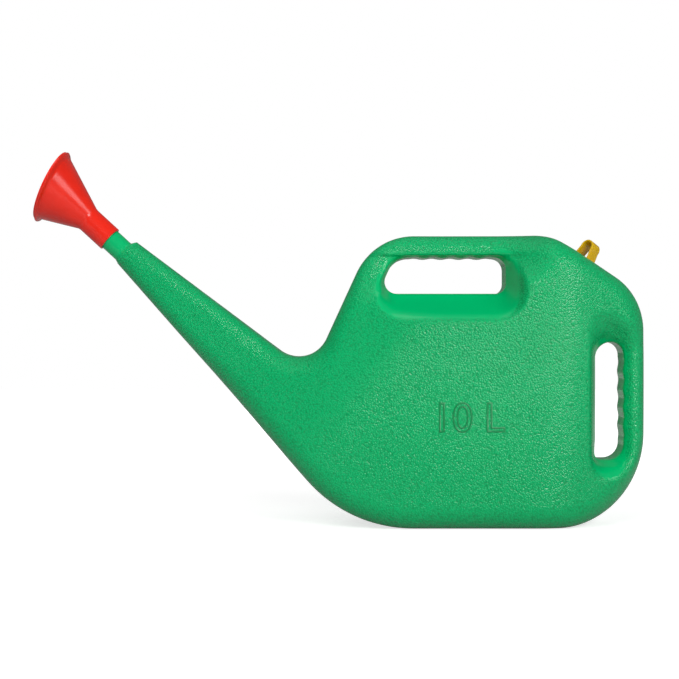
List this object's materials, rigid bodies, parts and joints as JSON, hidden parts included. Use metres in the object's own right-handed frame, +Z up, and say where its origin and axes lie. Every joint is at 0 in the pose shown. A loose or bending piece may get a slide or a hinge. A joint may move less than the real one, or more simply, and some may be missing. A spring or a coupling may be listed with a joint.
{
  "type": "watering can",
  "caption": "Blow-moulded plastic watering can with moulded-in top and rear hand grips, a long slanting spout, a push-on sprinkler rose and a push-in filler bung.",
  "frame": {"origin": "centre of the flat underside, on the ground", "axes": "+Z up, the spout and rose reach to -X and the rear grip is at +X, Y = 0 is the plane of symmetry"},
  "size_m": [0.668, 0.138, 0.4073],
  "materials": {
    "can_plastic": "fine pebble grain, satin",
    "bung_plastic": "glossy, slightly translucent",
    "rose_plastic": "glossy"
  },
  "bodies": {
    "can": {"tank": "can_plastic"},
    "bung": {"filler_bung": "bung_plastic"},
    "rose": {"rose_cone": "rose_plastic", "rose_face": "rose_plastic"}
  },
  "joints": [
    {"name": "bung_lift", "type": "slide", "parent": "can", "child": "bung", "axis": [0.515, 0, 0.8572], "range_m": [0, 0.05]},
    {"name": "rose_pull", "type": "slide", "parent": "can", "child": "rose", "axis": [-0.7361, 0, 0.6769], "range_m": [0, 0.06]}
  ]
}
